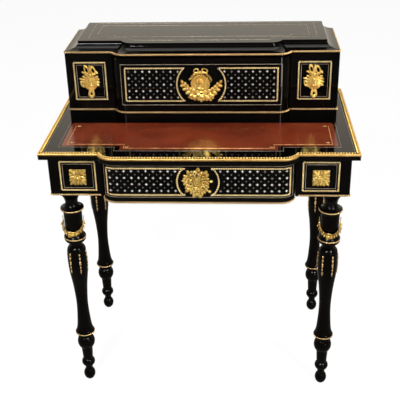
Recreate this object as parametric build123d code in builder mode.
from build123d import *
from dataclasses import dataclass
from math import acos, cos, isclose, pi, radians, sin, sqrt
import os

# A lady's writing desk: a table on four turned legs with one frieze drawer, and a low upper
# case with a drawer of its own. All sizes are millimetres. X runs along the front, Y from
# front to back, Z up. The origin is on the floor, under the middle of the desk.


@dataclass
class Plan:
    """A breakfront outline seen from above: flat sides, rounded steps and a flat centre."""

    half_width: float
    side_front: float
    projection: float
    back: float
    crease: float
    crease_run: float
    radius: float
    radius_run: float

    @property
    def centre_front(self):
        """Y of the centre, which stands forward of the sides."""
        return self.side_front - self.projection

    def crease_x(self, inset):
        """X where the rounded step leaves the flat side."""
        return self.crease - self.crease_run * inset

    def step_radius(self, inset):
        """Radius of the rounded step."""
        return self.radius - self.radius_run * inset

    def tangent_x(self, inset):
        """X where the rounded step runs into the flat centre."""
        radius = self.step_radius(inset)
        return self.crease_x(inset) - sqrt(radius**2 - (radius - self.projection) ** 2)


# Table, driving sizes
top_height = 740.0
top_thickness = 16.0
top_width = 784.0
top_depth = 496.0
centre_projection = 29.0
side_section = 147.0
table_crease_run = 0.37
table_step_radius = 45.0
table_radius_run = 0.37
frieze_overhang = 19.0
frieze_height = 105.0
frieze_board = 22.0
frieze_side_board = 20.0
frieze_back_board = 18.0
back_overhang = 4.0
divider_board = 16.0

# Brass edge of the top
edge_width = 11.5
edge_band_width = 5.0
edge_depth = 3.5
edge_band_rise = 1.0
edge_bead_rise = 4.0
edge_bead_round = 1.8
edge_overlap = 1.0

# Leather
leather_side_margin = 49.5
leather_front_margin = 52.0
leather_step = 23.5
leather_step_margin = 50.0
leather_case_gap = 41.0
leather_corner_radius = 9.0
leather_thickness = 2.0

# Rope mouldings and frames
rope_height = 5.4
rope_depth = 2.7
rope_round = 1.7
frame_band = 4.6
frame_depth = 2.4
frame_round = 0.9
frieze_rope_clearance = 1.0

# Frieze drawer
drawer_gap = 1.2
drawer_apron = 6.5
drawer_top_gap = 2.0
drawer_length = 310.0
drawer_side_board = 12.0
drawer_bottom_board = 6.0
drawer_bottom_lift = 6.0
runner_width = 14.0
runner_height = 12.0
kicker_height = 8.0
slide_gap = 0.3
groove_depth = 5.0
drawer_field_lift = 15.0
drawer_field_height = 76.5
drawer_field_margin = 10.97
drawer_reserve_radius = 49.0

# Lock of the frieze drawer
lock_width = 50.0
lock_height = 44.0
lock_depth = 10.0
bolt_width = 18.0
bolt_depth = 5.0
bolt_length = 29.0
bolt_throw = 6.0
bolt_gap = 0.3
keyhole_drop = 32.0
keyhole_radius = 1.8
keyhole_slot = 5.0

# Legs
leg_side_margin = 39.0
leg_front_margin = 42.0
leg_back_margin = 44.0
tenon_radius = 12.0
tenon_length = 34.0
tenon_gap = 0.05
block_size = 42.0
block_height = 81.0
husk_count = 6
husk_arc = 8.0
husk_gap = 0.2
husk_depth = 1.8
left_husk_turn = 15.0
right_husk_turn = 28.0

# Upper case, driving sizes
case_side_margin = 36.0
case_back_margin = 12.0
case_depth = 210.0
case_projection = 24.0
case_crease_margin = 14.0
case_crease_run = 0.67
case_step_radius = 34.0
base_height = 26.0
case_board_height = 150.0
case_board = 18.0
case_back_board = 10.0
case_divider_board = 14.0
case_opening_gap = 1.5
case_rail_height = 12.0
case_rail_depth = 40.0
cornice_edge = 6.5
cove_height = 14.5
cove_depth = 31.0
panel_thickness = 5.0
cove_steps = 6

# Upper drawer
case_drawer_gap = 1.0
case_drawer_lift = 1.3
case_drawer_top_gap = 5.0
case_drawer_depth = 161.0
case_drawer_board = 10.0
case_drawer_side_drop = 8.7
case_drawer_bottom_board = 5.0
case_drawer_bottom_lift = 6.0
case_field_lift = 27.0
case_field_height = 93.5
case_field_margin = 31.0
case_reserve_radius = 61.0

# Mounts
panel_frame_shift = 8.5
panel_frame_lift = 54.5
panel_frame_margins = 36.0
panel_frame_height = 82.0
rosette_size = 43.0
rosette_lift = 52.0
case_frame_lift = 76.0
case_frame_margins = 38.0
case_frame_height = 105.5
medallion_lift = 72.5
medallion_radius = 20.0
mount_plate = 3.0
mount_relief = 3.0

# Fixings
screw_radius = 2.0
screw_head_radius = 4.0
screw_head_height = 2.4
screw_length = 34.0
screw_gap = 0.2
screw_sink = 0.1

# Worked out from the sizes above
board_bottom = top_height - top_thickness
frieze_bottom = board_bottom - frieze_height
table = Plan(
    half_width=top_width / 2,
    side_front=-top_depth / 2 + centre_projection,
    projection=centre_projection,
    back=top_depth / 2,
    crease=top_width / 2 - side_section,
    crease_run=table_crease_run,
    radius=table_step_radius,
    radius_run=table_radius_run,
)
frieze_front = table.side_front + frieze_overhang
frieze_half = table.half_width - frieze_overhang
frieze_back = table.back - back_overhang
drawer_half = table.crease_x(frieze_overhang)
opening_half = drawer_half + drawer_gap
front_board_back = frieze_front + frieze_board
back_board_front = frieze_back - frieze_back_board
drawer_bottom_z = frieze_bottom - drawer_apron
drawer_top_z = board_bottom - drawer_top_gap
drawer_back_plane = front_board_back - slide_gap
box_half = opening_half - drawer_gap
box_bottom = frieze_bottom + runner_height + slide_gap
box_top = board_bottom - kicker_height - 1.0
drawer_floor = box_bottom + drawer_bottom_lift
drawer_field_low = frieze_bottom + drawer_field_lift
drawer_field_high = drawer_field_low + drawer_field_height
drawer_field_end = drawer_half - drawer_field_margin
drawer_centre_z = (drawer_field_low + drawer_field_high) / 2
keyhole_height = board_bottom - keyhole_drop
frieze_rope_stop = table.crease + frieze_rope_clearance
panel_frame_x = (frieze_half + table.crease) / 2 - panel_frame_shift
panel_frame_width = frieze_half - table.crease - panel_frame_margins
panel_frame_z = frieze_bottom + panel_frame_lift
rosette_z = frieze_bottom + rosette_lift
leg_x = frieze_half - leg_side_margin
front_leg_y = frieze_front + leg_front_margin
back_leg_y = frieze_back - leg_back_margin

case_back = table.back - case_back_margin
case = Plan(
    half_width=table.half_width - case_side_margin,
    side_front=case_back - case_depth,
    projection=case_projection,
    back=case_back,
    crease=table.crease - case_crease_margin,
    crease_run=case_crease_run,
    radius=case_step_radius,
    radius_run=0,
)
base_top = top_height + base_height
cornice_bottom = base_top + case_board_height
cove_bottom = cornice_bottom + cornice_edge
cove_top = cove_bottom + cove_height
case_boards_back = case.back - case_back_board
case_front_back = case.side_front + case_board
case_opening_half = case.crease + case_opening_gap
case_drawer_half = case_opening_half - case_drawer_gap
case_drawer_front_height = case_board_height - case_drawer_lift - case_drawer_top_gap
case_drawer_side_height = case_drawer_front_height - case_drawer_side_drop
case_drawer_back_plane = case_front_back - slide_gap
case_drawer_floor = base_top + case_drawer_bottom_lift
case_field_low = base_top + case_field_lift
case_field_high = case_field_low + case_field_height
case_field_end = case.crease - case_field_margin
case_centre_z = (case_field_low + case_field_high) / 2
case_frame_x = (case.half_width + case.crease) / 2
case_frame_width = case.half_width - case.crease - case_frame_margins
case_frame_z = base_top + case_frame_lift
medallion_z = base_top + medallion_lift

leather_half_width = table.half_width - leather_side_margin
leather_side_front = table.side_front + leather_front_margin
leather_centre_front = leather_side_front - leather_step
leather_centre_half = table.crease - leather_step_margin
leather_back = case.side_front - leather_case_gap

os.makedirs("parts", exist_ok=True)


def save(piece, name):
    """Label a finished piece and write its STEP file."""
    piece.label = name
    export_step(piece, f"parts/{name}.step")


def step_points(plan, inset, side):
    """Crease, middle and tangent point of the rounded step on one side (-1 left, 1 right)."""
    radius = plan.step_radius(inset)
    whole = acos(1 - plan.projection / radius)
    points = []
    for turn in (whole, whole / 2, 0):
        across = plan.tangent_x(inset) + radius * sin(turn)
        forward = plan.centre_front + inset + radius * (1 - cos(turn))
        points.append((side * across, forward))
    return points


def breakfront(plan, inset, back=None, mode=Mode.ADD):
    """Draw the whole outline in the open sketch, set in along the front and sides."""
    half = plan.half_width - inset
    front = plan.side_front + inset
    rear = plan.back if back is None else back
    left = step_points(plan, inset, -1)
    right = step_points(plan, inset, 1)
    with BuildLine() as outline:
        Polyline((-half, rear), (-half, front), left[0])
        ThreePointArc(*left)
        Line(left[2], right[2])
        ThreePointArc(*reversed(right))
        Polyline(right[0], (half, front), (half, rear), (-half, rear))
    make_face(outline.edges(), mode=mode)


def centre_section(plan, inset, rear, mode=Mode.ADD):
    """Draw only the forward centre with its rounded ends, back to a straight rear edge."""
    left = step_points(plan, inset, -1)
    right = step_points(plan, inset, 1)
    with BuildLine() as outline:
        ThreePointArc(*left)
        Line(left[2], right[2])
        ThreePointArc(*reversed(right))
        Polyline(right[0], (right[0][0], rear), (left[0][0], rear), left[0])
    make_face(outline.edges(), mode=mode)


def edges_on_outline(piece, plan, inset):
    """Level edges of a piece that follow the outline at one inset."""
    chosen = []
    for edge in piece.edges():
        if edge.bounding_box().size.Z > 0.01:
            continue
        middle = edge.center()
        if edge.geom_type == GeomType.CIRCLE:
            on_line = isclose(abs(edge.arc_center.X), plan.tangent_x(inset), abs_tol=0.01)
        else:
            on_line = (
                isclose(abs(middle.X), plan.half_width - inset, abs_tol=0.01)
                or isclose(middle.Y, plan.side_front + inset, abs_tol=0.01)
                or isclose(middle.Y, plan.centre_front + inset, abs_tol=0.01)
            )
        if on_line:
            chosen.append(edge)
    return chosen


def whole_moulding(plan, inset, low):
    """A half-round moulding along the front and both sides of an outline."""
    with BuildPart() as moulding:
        with BuildSketch(Plane.XY.offset(low)):
            breakfront(plan, inset - rope_depth)
            breakfront(plan, inset, plan.back + 1, mode=Mode.SUBTRACT)
        extrude(amount=rope_height)
        fillet(edges_on_outline(moulding.part, plan, inset - rope_depth), rope_round)
    return moulding.part


def skin(plan, inset, thickness, low, high):
    """A layer of one thickness over the forward centre, between two heights."""
    with BuildPart() as layer:
        with BuildSketch(Plane.XY.offset(low)):
            centre_section(plan, inset - thickness, plan.side_front + inset)
            centre_section(plan, inset, plan.back, mode=Mode.SUBTRACT)
        extrude(amount=high - low)
    return layer.part


def box_between(x_low, x_high, y_low, y_high, z_low, z_high, mode=Mode.ADD):
    """A plain board or block given by its six faces, joined to or cut from the open part."""
    with Locations(((x_low + x_high) / 2, (y_low + y_high) / 2, (z_low + z_high) / 2)):
        Box(x_high - x_low, y_high - y_low, z_high - z_low, mode=mode)


def mirrored_pair(x_low, x_high, y_low, y_high, z_low, z_high):
    """Two like boards, left and right."""
    box_between(x_low, x_high, y_low, y_high, z_low, z_high)
    box_between(-x_high, -x_low, y_low, y_high, z_low, z_high)


# ---------------------------------------------------------------- table top


def screw_places():
    """Where the screws hold the upper case, in plan."""
    places = []
    for x in (-case.half_width + 60, case.half_width - 60):
        for y in (case.side_front + 34, case.back - 36):
            places.append((x, y))
    return places


with BuildPart() as table_top:
    with BuildSketch(Plane.XY.offset(board_bottom)):
        breakfront(table, edge_overlap)
    extrude(amount=top_thickness)
    lower = [
        edge
        for edge in edges_on_outline(table_top.part, table, edge_overlap)
        if edge.center().Z < board_bottom + 1
    ]
    fillet(lower, 2.5)
    with BuildSketch(Plane.XY.offset(top_height - edge_depth)):
        breakfront(table, 0)
        breakfront(table, edge_width, table.back + 1, mode=Mode.SUBTRACT)
    extrude(amount=edge_depth, mode=Mode.SUBTRACT)


def leather_outline():
    """Draw the leather's outline, stepped forward in the centre."""
    with BuildLine() as outline:
        Polyline(
            (-leather_half_width, leather_back),
            (-leather_half_width, leather_side_front),
            (-leather_centre_half, leather_side_front),
            (-leather_centre_half, leather_centre_front),
            (leather_centre_half, leather_centre_front),
            (leather_centre_half, leather_side_front),
            (leather_half_width, leather_side_front),
            (leather_half_width, leather_back),
            close=True,
        )
    make_face(outline.edges())


with BuildPart() as leather_panel:
    with BuildSketch(Plane.XY.offset(top_height - leather_thickness)) as leather_sketch:
        leather_outline()
        fillet(leather_sketch.vertices().group_by(Axis.Y)[-1], leather_corner_radius)
    extrude(amount=leather_thickness)

with table_top:
    add(leather_panel.part, mode=Mode.SUBTRACT)
    # Mortise for the lock's bolt
    box_between(
        -bolt_width / 2 - 1,
        bolt_width / 2 + 1,
        drawer_back_plane - lock_depth + 1,
        drawer_back_plane - 1,
        board_bottom,
        board_bottom + bolt_throw,
        mode=Mode.SUBTRACT,
    )
    # Countersunk holes for the screws that hold the upper case
    with Locations(*[(x, y, board_bottom) for x, y in screw_places()]):
        Cylinder(
            screw_radius + screw_gap,
            top_thickness,
            align=(Align.CENTER, Align.CENTER, Align.MIN),
            mode=Mode.SUBTRACT,
        )
        Cone(
            screw_head_radius + screw_gap,
            screw_radius + screw_gap,
            screw_head_height,
            align=(Align.CENTER, Align.CENTER, Align.MIN),
            mode=Mode.SUBTRACT,
        )

save(table_top.part, "table_top")
save(leather_panel.part, "leather_panel")

with BuildPart() as top_edge_moulding:
    # Plain outer band
    with BuildSketch(Plane.XY.offset(top_height - edge_depth)):
        breakfront(table, 0)
        breakfront(table, edge_width, table.back + 1, mode=Mode.SUBTRACT)
    extrude(amount=edge_depth + edge_band_rise)
    fillet(edges_on_outline(top_edge_moulding.part, table, 0), 1.8)
    # Raised inner row
    with BuildSketch(Plane.XY.offset(top_height)):
        breakfront(table, edge_band_width)
        breakfront(table, edge_width, table.back + 1, mode=Mode.SUBTRACT)
    extrude(amount=edge_bead_rise)
    bead_edges = [
        edge
        for inset in (edge_band_width, edge_width)
        for edge in edges_on_outline(top_edge_moulding.part, table, inset)
        if edge.center().Z > top_height + edge_bead_rise - 0.1
    ]
    fillet(bead_edges, edge_bead_round)
save(top_edge_moulding.part, "top_edge_moulding")

# ---------------------------------------------------------------- frieze

for side, name in ((-1, "left"), (1, "right")):
    with BuildPart() as front_board:
        box_between(
            *sorted((side * opening_half, side * frieze_half)),
            frieze_front,
            front_board_back,
            frieze_bottom,
            board_bottom,
        )
    save(front_board.part, f"frieze_front_{name}")

    with BuildPart() as side_board:
        box_between(
            *sorted((side * (frieze_half - frieze_side_board), side * frieze_half)),
            front_board_back,
            back_board_front,
            frieze_bottom,
            board_bottom,
        )
    save(side_board.part, f"frieze_side_{name}")

    with BuildPart() as lower_rope:
        with BuildSketch(Plane.XY.offset(frieze_bottom)):
            breakfront(table, frieze_overhang - rope_depth, frieze_back)
            breakfront(table, frieze_overhang, table.back, mode=Mode.SUBTRACT)
            with Locations((side * (frieze_rope_stop + top_width / 2), 0)):
                Rectangle(top_width, 2 * top_depth, mode=Mode.INTERSECT)
        extrude(amount=rope_height)
        fillet(edges_on_outline(lower_rope.part, table, frieze_overhang - rope_depth), rope_round)
    save(lower_rope.part, f"frieze_rope_{name}")

with BuildPart() as frieze_back_panel:
    box_between(
        -frieze_half, frieze_half, back_board_front, frieze_back, frieze_bottom, board_bottom
    )
save(frieze_back_panel.part, "frieze_back")

with BuildPart() as drawer_dividers:
    mirrored_pair(
        opening_half,
        opening_half + divider_board,
        front_board_back,
        back_board_front,
        frieze_bottom,
        board_bottom,
    )
save(drawer_dividers.part, "drawer_dividers")

with BuildPart() as drawer_runners:
    mirrored_pair(
        opening_half - runner_width,
        opening_half,
        front_board_back + slide_gap,
        back_board_front,
        frieze_bottom,
        frieze_bottom + runner_height,
    )
    mirrored_pair(
        opening_half - runner_width,
        opening_half,
        front_board_back + slide_gap,
        back_board_front,
        board_bottom - kicker_height,
        board_bottom,
    )
save(drawer_runners.part, "drawer_runners")


def rectangular_frame(centre_x, centre_z, width, height, face_y):
    """A raised rectangular frame on a flat front, its outer arrises rounded."""
    with BuildPart() as frame:
        with BuildSketch(Plane.XZ.offset(-face_y)):
            with Locations((centre_x, centre_z)):
                Rectangle(width, height)
                Rectangle(width - 2 * frame_band, height - 2 * frame_band, mode=Mode.SUBTRACT)
        extrude(amount=frame_depth)
        fillet(frame.edges().group_by(Axis.Y)[0], frame_round)
    return frame.part


def frame_pair(centre_x, centre_z, width, height, face_y):
    """Two like frames, left and right."""
    with BuildPart() as pair:
        add(rectangular_frame(-centre_x, centre_z, width, height, face_y))
        add(rectangular_frame(centre_x, centre_z, width, height, face_y))
    return pair.part


save(
    frame_pair(panel_frame_x, panel_frame_z, panel_frame_width, panel_frame_height, frieze_front),
    "frieze_frames",
)

for side, name in ((-1, "left"), (1, "right")):
    with BuildPart() as rosette:
        # Square leaf plate with hollow sides, and a raised heart in the middle
        with BuildSketch(Plane.XZ.offset(-frieze_front)) as rosette_sketch:
            with Locations((side * panel_frame_x, rosette_z)):
                Rectangle(rosette_size, rosette_size)
                with PolarLocations(rosette_size / 2 + 9, 4):
                    Circle(10.5, mode=Mode.SUBTRACT)
        extrude(amount=mount_plate)
        chamfer(rosette.edges().group_by(Axis.Y)[0], 0.8)
        with BuildSketch(Plane.XZ.offset(-frieze_front + mount_plate)):
            with Locations((side * panel_frame_x, rosette_z)):
                RegularPolygon(13, 8)
        extrude(amount=mount_relief, taper=35)
    save(rosette.part, f"rosette_{name}")

# ---------------------------------------------------------------- legs


leg_drawn_height = 619.0
ring_band = 3.6
ring_bite = 2.4
ring_proud = 0.6


def at(radius, height):
    """A point of the leg's profile, drawn for a leg of the usual height."""
    return (radius, height * frieze_bottom / leg_drawn_height)


ring_places = (at(30.0, 562.0), at(28.6, 477.0), at(26.4, 168.5))
swag_top = at(0, 534.0)[1]
swag_drop = 43.0
swag_radius = 27.6
swag_thickness = 3.2
shoulder = (at(24.7, 434.0), at(26.2, 400.0), at(22.4, 350.0))


def leg_outline():
    """Draw half of the turned profile, from the tenon's top down to the foot."""
    cap_bottom = at(27.5, 606)
    with BuildLine() as profile:
        Polyline(
            (0, frieze_bottom + tenon_length),
            (tenon_radius, frieze_bottom + tenon_length),
            (tenon_radius, frieze_bottom),
            (27.5, frieze_bottom),
            cap_bottom,
        )
        # Hollow under the cap, then the neck and the flared cup
        ThreePointArc(cap_bottom, at(19.5, 594), at(16.2, 581))
        ThreePointArc(at(16.2, 581), at(19.5, 571), at(30.0, 565))
        Line(at(30.0, 565), at(30.0, 559.5))
        ThreePointArc(at(30.0, 559.5), at(26.2, 556.5), at(24.0, 552))
        # Drum
        Line(at(24.0, 552), at(23.4, 494))
        # Ovolo, undercut and neck
        ThreePointArc(at(23.4, 494), at(25.0, 485), at(28.6, 480))
        Line(at(28.6, 480), at(28.6, 474))
        ThreePointArc(at(28.6, 474), at(25.0, 465), at(15.4, 462))
        Line(at(15.4, 462), at(15.4, 452))
        # Long baluster: shoulder, waist and the flare above the foot
        ThreePointArc(at(15.4, 452), at(21.6, 446), shoulder[0])
        swell = ThreePointArc(*shoulder)
        Spline(
            shoulder[2],
            at(17.6, 304.0),
            at(15.8, 262.0),
            at(18.4, 210.0),
            at(26.2, 171.0),
            tangents=(swell % 1, (0.6, -1)),
        )
        Line(at(26.2, 171), at(26.4, 171))
        Line(at(26.4, 171), at(26.4, 166))
        # Undercut, bulb, tapered peg
        ThreePointArc(at(26.4, 166), at(21.5, 160), at(18.0, 156))
        Line(at(18.0, 156), at(18.0, 152))
        ThreePointArc(at(18.0, 152), at(24.2, 133), at(15.8, 113))
        Line(at(15.8, 113), at(13.6, 72))
        # Small ring, thin neck, ball foot
        ThreePointArc(at(13.6, 72), at(18.6, 60.5), at(13.2, 49))
        ThreePointArc(at(13.2, 49), at(10.4, 42), at(11.0, 33))
        ThreePointArc(at(11.0, 33), at(16.2, 17), at(8.0, 0))
        Line(at(8.0, 0), (0, 0))
        Line((0, 0), (0, frieze_bottom + tenon_length))
    make_face(profile.edges())


def turned_leg():
    """One leg about the Z axis, with grooves for its three brass rings."""
    with BuildPart() as leg:
        with BuildSketch(Plane.XZ):
            leg_outline()
            for radius, height in ring_places:
                with Locations((radius, height)):
                    Rectangle(2 * ring_bite, ring_band, mode=Mode.SUBTRACT)
        revolve(axis=Axis.Z)
    return leg.part


def leg_brass(husk_turn):
    """Rings, swag and husk drops of one leg, about the Z axis."""
    with BuildPart() as brass:
        for radius, height in ring_places:
            with BuildSketch(Plane.XZ) as ring_sketch:
                low = radius - ring_bite + 0.1
                high = radius + ring_proud
                with Locations(((low + high) / 2, height)):
                    Rectangle(high - low, ring_band - 0.1)
                fillet(ring_sketch.vertices().group_by(Axis.X)[-1], 1.2)
            revolve(axis=Axis.Z)
        # Garland hung round the front half of the drum
        hang = []
        for turn_down in range(0, 181, 30):
            across = swag_radius * cos(radians(turn_down))
            forward = -swag_radius * sin(radians(turn_down))
            drop = swag_drop * sin(radians(turn_down)) ** 1.2
            hang.append((across, forward, swag_top - drop))
        with BuildLine() as swag_path:
            Spline(*hang)
        with BuildSketch(swag_path.line ^ 0):
            Circle(swag_thickness)
        sweep(path=swag_path.line)
        # Drops of husks on the shoulder of the baluster
        outer = [(radius + husk_depth, height) for radius, height in shoulder]
        inner = [(radius + husk_gap, height) for radius, height in shoulder]
        for step in range(husk_count):
            angle = husk_turn + 360 / husk_count * step - 90 - husk_arc / 2
            with BuildSketch(Plane(Rot(0, 0, angle) * Plane.XZ.location)):
                with BuildLine():
                    ThreePointArc(*inner)
                    Line(inner[2], outer[2])
                    ThreePointArc(*reversed(outer))
                    Line(outer[0], inner[0])
                make_face()
            revolve(axis=Axis.Z, revolution_arc=husk_arc)
    return brass.part


leg = turned_leg()
for depth_name, leg_y in (("front", front_leg_y), ("back", back_leg_y)):
    for side, name, turn in ((-1, "left", left_husk_turn), (1, "right", right_husk_turn)):
        place = Pos(side * leg_x, leg_y, 0)
        save(place * leg, f"leg_{depth_name}_{name}")
        save(place * leg_brass(turn), f"leg_brass_{depth_name}_{name}")

with BuildPart() as corner_blocks:
    inner = frieze_half - frieze_side_board
    for y_low, y_high in (
        (front_board_back, front_board_back + block_size),
        (back_board_front - block_size, back_board_front),
    ):
        mirrored_pair(
            inner - block_size, inner, y_low, y_high, frieze_bottom, frieze_bottom + block_height
        )
    with Locations(Plane.XY.offset(frieze_bottom)):
        with Locations(*[(s * leg_x, y) for s in (-1, 1) for y in (front_leg_y, back_leg_y)]):
            Cylinder(
                tenon_radius + tenon_gap,
                tenon_length,
                align=(Align.CENTER, Align.CENTER, Align.MIN),
                mode=Mode.SUBTRACT,
            )
save(corner_blocks.part, "corner_blocks")

# ---------------------------------------------------------------- frieze drawer

lock_top = drawer_top_z
lock_front = drawer_back_plane - lock_depth

with BuildPart() as drawer_front:
    with BuildSketch(Plane.XY.offset(drawer_bottom_z)):
        centre_section(table, frieze_overhang, drawer_back_plane)
    extrude(amount=drawer_top_z - drawer_bottom_z)
    # Groove for the bottom
    box_between(
        -box_half + drawer_side_board,
        box_half - drawer_side_board,
        drawer_back_plane - groove_depth,
        drawer_back_plane,
        drawer_floor,
        drawer_floor + drawer_bottom_board,
        mode=Mode.SUBTRACT,
    )
    # Recess for the lock
    box_between(
        -lock_width / 2,
        lock_width / 2,
        lock_front,
        drawer_back_plane,
        lock_top - lock_height,
        lock_top,
        mode=Mode.SUBTRACT,
    )
    # Keyhole
    with BuildSketch(Plane.XZ):
        with Locations((0, keyhole_height)):
            Circle(keyhole_radius)
        with Locations((0, keyhole_height - keyhole_slot / 2)):
            Rectangle(keyhole_radius, keyhole_slot)
    extrude(amount=top_depth / 2, mode=Mode.SUBTRACT)
save(drawer_front.part, "drawer_front")

with BuildPart() as drawer_sides:
    mirrored_pair(
        box_half - drawer_side_board,
        box_half,
        drawer_back_plane,
        drawer_back_plane + drawer_length,
        box_bottom,
        box_top,
    )
    box_between(
        -box_half + drawer_side_board - groove_depth,
        box_half - drawer_side_board + groove_depth,
        drawer_back_plane,
        drawer_back_plane + drawer_length,
        drawer_floor,
        drawer_floor + drawer_bottom_board,
        mode=Mode.SUBTRACT,
    )
save(drawer_sides.part, "drawer_sides")

with BuildPart() as drawer_back:
    box_between(
        -box_half + drawer_side_board,
        box_half - drawer_side_board,
        drawer_back_plane + drawer_length - drawer_side_board,
        drawer_back_plane + drawer_length,
        drawer_floor + drawer_bottom_board,
        box_top - 4,
    )
save(drawer_back.part, "drawer_back")

with BuildPart() as drawer_bottom:
    box_between(
        -box_half + drawer_side_board - groove_depth,
        box_half - drawer_side_board + groove_depth,
        drawer_back_plane,
        drawer_back_plane + drawer_length,
        drawer_floor,
        drawer_floor + drawer_bottom_board,
    )
    box_between(
        -box_half + drawer_side_board,
        box_half - drawer_side_board,
        drawer_back_plane - groove_depth,
        drawer_back_plane,
        drawer_floor,
        drawer_floor + drawer_bottom_board,
    )
save(drawer_bottom.part, "drawer_bottom")

with BuildPart() as drawer_rope:
    rope_top = drawer_bottom_z + rope_height
    add(skin(table, frieze_overhang, rope_depth, drawer_bottom_z, rope_top))
    fillet(edges_on_outline(drawer_rope.part, table, frieze_overhang - rope_depth), rope_round)
save(drawer_rope.part, "drawer_rope")


def hollow_frames(plan, inset, low, high, end, reserve_radius):
    """Two rope frames on a forward centre, their inner ends hollowed round a circle."""
    with BuildPart() as frames:
        add(skin(plan, inset, frame_depth, low, high))
        with BuildSketch(Plane.XZ) as pattern:
            with Locations((0, (low + high) / 2)):
                Rectangle(2 * end, high - low)
                Rectangle(
                    2 * (end - frame_band), high - low - 2 * frame_band, mode=Mode.SUBTRACT
                )
                Circle(reserve_radius + frame_band)
                Rectangle(2 * end, high - low, mode=Mode.INTERSECT)
                Circle(reserve_radius, mode=Mode.SUBTRACT)
        extrude(amount=top_depth, both=True, mode=Mode.INTERSECT)
    return frames.part


save(
    hollow_frames(
        table,
        frieze_overhang,
        drawer_field_low,
        drawer_field_high,
        drawer_field_end,
        drawer_reserve_radius,
    ),
    "drawer_frames",
)

with BuildPart() as drawer_mount:
    # Leafy plate with a raised heart, pierced for the key
    with BuildSketch(Plane.XZ.offset(-table.centre_front - frieze_overhang)):
        with Locations((0, drawer_centre_z)):
            Ellipse(30, 34)
            with PolarLocations(30, 8, start_angle=22.5):
                Ellipse(12, 8)
        with Locations((0, drawer_centre_z + 33), (0, drawer_centre_z - 33)):
            Ellipse(12, 8)
    extrude(amount=mount_plate)
    with BuildSketch(Plane.XZ.offset(-table.centre_front - frieze_overhang + mount_plate)):
        with Locations((0, drawer_centre_z)):
            Ellipse(24, 28)
    extrude(amount=mount_relief + 1)
    chamfer(drawer_mount.edges().group_by(Axis.Y)[0], 2.5)
    with BuildSketch(Plane.XZ):
        with Locations((0, keyhole_height)):
            Circle(keyhole_radius)
        with Locations((0, keyhole_height - keyhole_slot / 2)):
            Rectangle(keyhole_radius, keyhole_slot)
    extrude(amount=top_depth, mode=Mode.SUBTRACT)
save(drawer_mount.part, "drawer_mount")

bolt_middle_y = (lock_front + drawer_back_plane) / 2

with BuildPart() as drawer_lock:
    box_between(
        -lock_width / 2,
        lock_width / 2,
        lock_front,
        drawer_back_plane,
        lock_top - lock_height,
        lock_top,
    )
    box_between(
        -bolt_width / 2 - bolt_gap,
        bolt_width / 2 + bolt_gap,
        bolt_middle_y - bolt_depth / 2 - bolt_gap,
        bolt_middle_y + bolt_depth / 2 + bolt_gap,
        lock_top - 1 - bolt_length - bolt_gap,
        lock_top,
        mode=Mode.SUBTRACT,
    )
save(drawer_lock.part, "drawer_lock")

with BuildPart() as drawer_bolt:
    box_between(
        -bolt_width / 2,
        bolt_width / 2,
        bolt_middle_y - bolt_depth / 2,
        bolt_middle_y + bolt_depth / 2,
        lock_top - 1 - bolt_length,
        lock_top - 1,
    )
    chamfer(drawer_bolt.edges().group_by(Axis.Z)[-1], 0.8)
save(drawer_bolt.part, "drawer_bolt")

# ---------------------------------------------------------------- upper case

with BuildPart() as case_base:
    with BuildSketch(Plane.XY.offset(top_height)):
        breakfront(case, 0)
    extrude(amount=base_height)
    with Locations(*[(x, y, top_height) for x, y in screw_places()]):
        Cylinder(
            screw_radius + screw_gap,
            screw_length - top_thickness,
            align=(Align.CENTER, Align.CENTER, Align.MIN),
            mode=Mode.SUBTRACT,
        )
save(case_base.part, "case_base")

save(whole_moulding(case, 0, base_top - rope_height), "case_rope_lower")
save(whole_moulding(case, 0, cove_bottom - rope_height), "case_rope_upper")

for side, name in ((-1, "left"), (1, "right")):
    with BuildPart() as case_side:
        box_between(
            *sorted((side * (case.half_width - case_board), side * case.half_width)),
            case_front_back,
            case_boards_back,
            base_top,
            cornice_bottom,
        )
    save(case_side.part, f"case_side_{name}")

    with BuildPart() as case_front_board:
        box_between(
            *sorted((side * case_opening_half, side * case.half_width)),
            case.side_front,
            case_front_back,
            base_top,
            cornice_bottom,
        )
    save(case_front_board.part, f"case_front_{name}")

with BuildPart() as case_back_panel:
    box_between(
        -case.half_width, case.half_width, case_boards_back, case.back, base_top, cornice_bottom
    )
save(case_back_panel.part, "case_back")

with BuildPart() as case_dividers:
    mirrored_pair(
        case_opening_half,
        case_opening_half + case_divider_board,
        case_front_back,
        case_boards_back,
        base_top,
        cornice_bottom,
    )
save(case_dividers.part, "case_dividers")

with BuildPart() as case_top_rail:
    box_between(
        -case_opening_half,
        case_opening_half,
        case_front_back + slide_gap,
        case_front_back + case_rail_depth,
        cornice_bottom - case_rail_height,
        cornice_bottom,
    )
save(case_top_rail.part, "case_top_rail")

with BuildPart() as case_cornice:
    with BuildSketch(Plane.XY.offset(cornice_bottom)):
        breakfront(case, 0)
    extrude(amount=cornice_edge)
    # Hollow moulding: a quarter of an ellipse, level at the edge and upright at the top
    for step in range(cove_steps + 1):
        turn = pi / 2 * step / cove_steps
        rise = cove_height * (1 - cos(turn))
        with BuildSketch(Plane.XY.offset(cove_bottom + rise)):
            breakfront(case, cove_depth * sin(turn))
    loft()
save(case_cornice.part, "case_cornice")

with BuildPart() as case_top_panel:
    with BuildSketch(Plane.XY.offset(cove_top)):
        breakfront(case, cove_depth)
    extrude(amount=panel_thickness)
save(case_top_panel.part, "case_top_panel")

save(
    frame_pair(case_frame_x, case_frame_z, case_frame_width, case_frame_height, case.side_front),
    "case_frames",
)

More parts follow.
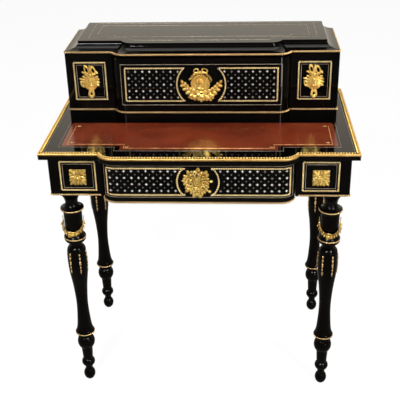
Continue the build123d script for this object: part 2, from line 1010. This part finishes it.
for side, name in ((-1, "left"), (1, "right")):
    with BuildPart() as medallion:
        # Round portrait plate with a ribbon bow above and a small drop below
        with BuildSketch(Plane.XZ.offset(-case.side_front)):
            with Locations((side * case_frame_x, medallion_z)):
                Circle(medallion_radius + 1.5)
                with PolarLocations(medallion_radius + 1, 5, start_angle=-20, angular_range=50):
                    Ellipse(7, 4)
                with PolarLocations(medallion_radius + 1, 5, start_angle=150, angular_range=50):
                    Ellipse(7, 4)
            with Locations((side * case_frame_x, medallion_z - medallion_radius - 9)):
                Ellipse(6.5, 10)
            with Locations((side * case_frame_x, medallion_z + medallion_radius + 12)):
                Rectangle(7, 26)
            for bow_side in (-1, 1):
                bow_x = side * case_frame_x + bow_side * 9.5
                with Locations(Location((bow_x, medallion_z + medallion_radius + 13), 28 * bow_side)):
                    Ellipse(6, 12)
                    Ellipse(2.6, 7, mode=Mode.SUBTRACT)
        extrude(amount=mount_plate)
        with BuildSketch(Plane.XZ.offset(-case.side_front + mount_plate)):
            with Locations((side * case_frame_x, medallion_z)):
                Circle(medallion_radius)
                Circle(medallion_radius - 2.5, mode=Mode.SUBTRACT)
                Ellipse(9, 13)
        extrude(amount=mount_relief)
    save(medallion.part, f"medallion_{name}")

with BuildPart() as case_screws:
    with Locations(*[(x, y, board_bottom + screw_sink) for x, y in screw_places()]):
        Cone(
            screw_head_radius,
            screw_radius,
            screw_head_height,
            align=(Align.CENTER, Align.CENTER, Align.MIN),
        )
        Cylinder(
            screw_radius,
            screw_length - 4,
            align=(Align.CENTER, Align.CENTER, Align.MIN),
        )
save(case_screws.part, "case_screws")

# ---------------------------------------------------------------- upper drawer

case_box_inner = case_drawer_half - case_drawer_board
case_box_rear = case_drawer_back_plane + case_drawer_depth

with BuildPart() as case_drawer_front:
    with BuildSketch(Plane.XY.offset(base_top + case_drawer_lift)):
        centre_section(case, 0, case_drawer_back_plane)
    extrude(amount=case_drawer_front_height)
    box_between(
        -case_box_inner,
        case_box_inner,
        case_drawer_back_plane - groove_depth,
        case_drawer_back_plane,
        case_drawer_floor,
        case_drawer_floor + case_drawer_bottom_board,
        mode=Mode.SUBTRACT,
    )
save(case_drawer_front.part, "case_drawer_front")

with BuildPart() as case_drawer_sides:
    mirrored_pair(
        case_box_inner,
        case_drawer_half,
        case_drawer_back_plane,
        case_box_rear,
        base_top + slide_gap,
        base_top + slide_gap + case_drawer_side_height,
    )
    box_between(
        -case_box_inner - groove_depth,
        case_box_inner + groove_depth,
        case_drawer_back_plane,
        case_box_rear,
        case_drawer_floor,
        case_drawer_floor + case_drawer_bottom_board,
        mode=Mode.SUBTRACT,
    )
save(case_drawer_sides.part, "case_drawer_sides")

with BuildPart() as case_drawer_back:
    box_between(
        -case_box_inner,
        case_box_inner,
        case_box_rear - case_drawer_board,
        case_box_rear,
        case_drawer_floor + case_drawer_bottom_board,
        base_top + case_drawer_side_height - 4,
    )
save(case_drawer_back.part, "case_drawer_back")

with BuildPart() as case_drawer_bottom:
    box_between(
        -case_box_inner - groove_depth,
        case_box_inner + groove_depth,
        case_drawer_back_plane,
        case_box_rear,
        case_drawer_floor,
        case_drawer_floor + case_drawer_bottom_board,
    )
    box_between(
        -case_box_inner,
        case_box_inner,
        case_drawer_back_plane - groove_depth,
        case_drawer_back_plane,
        case_drawer_floor,
        case_drawer_floor + case_drawer_bottom_board,
    )
save(case_drawer_bottom.part, "case_drawer_bottom")

save(
    hollow_frames(case, 0, case_field_low, case_field_high, case_field_end, case_reserve_radius),
    "case_drawer_frames",
)

with BuildPart() as case_drawer_mount:
    # Round medallion with a ribbon above and two crossed branches below
    with BuildSketch(Plane.XZ.offset(-case.centre_front)):
        with Locations((0, case_centre_z + 3)):
            Circle(26)
        for side in (-1, 1):
            for reach, lift, length, tilt in ((14, -30, 17, 14), (30, -22, 17, 42), (42, -4, 15, 68)):
                with Locations(Location((side * reach, case_centre_z + lift), side * tilt)):
                    Ellipse(length, 7)
            with Locations(Location((side * 13, case_centre_z + 33), side * -25)):
                Ellipse(10, 7)
        with Locations((0, case_centre_z - 37)):
            Ellipse(8, 9)
    extrude(amount=mount_plate)
    with BuildSketch(Plane.XZ.offset(-case.centre_front + mount_plate)):
        with Locations((0, case_centre_z + 3)):
            Circle(25)
            Circle(22, mode=Mode.SUBTRACT)
            Ellipse(10, 16)
    extrude(amount=mount_relief + 1)
save(case_drawer_mount.part, "case_drawer_mount")
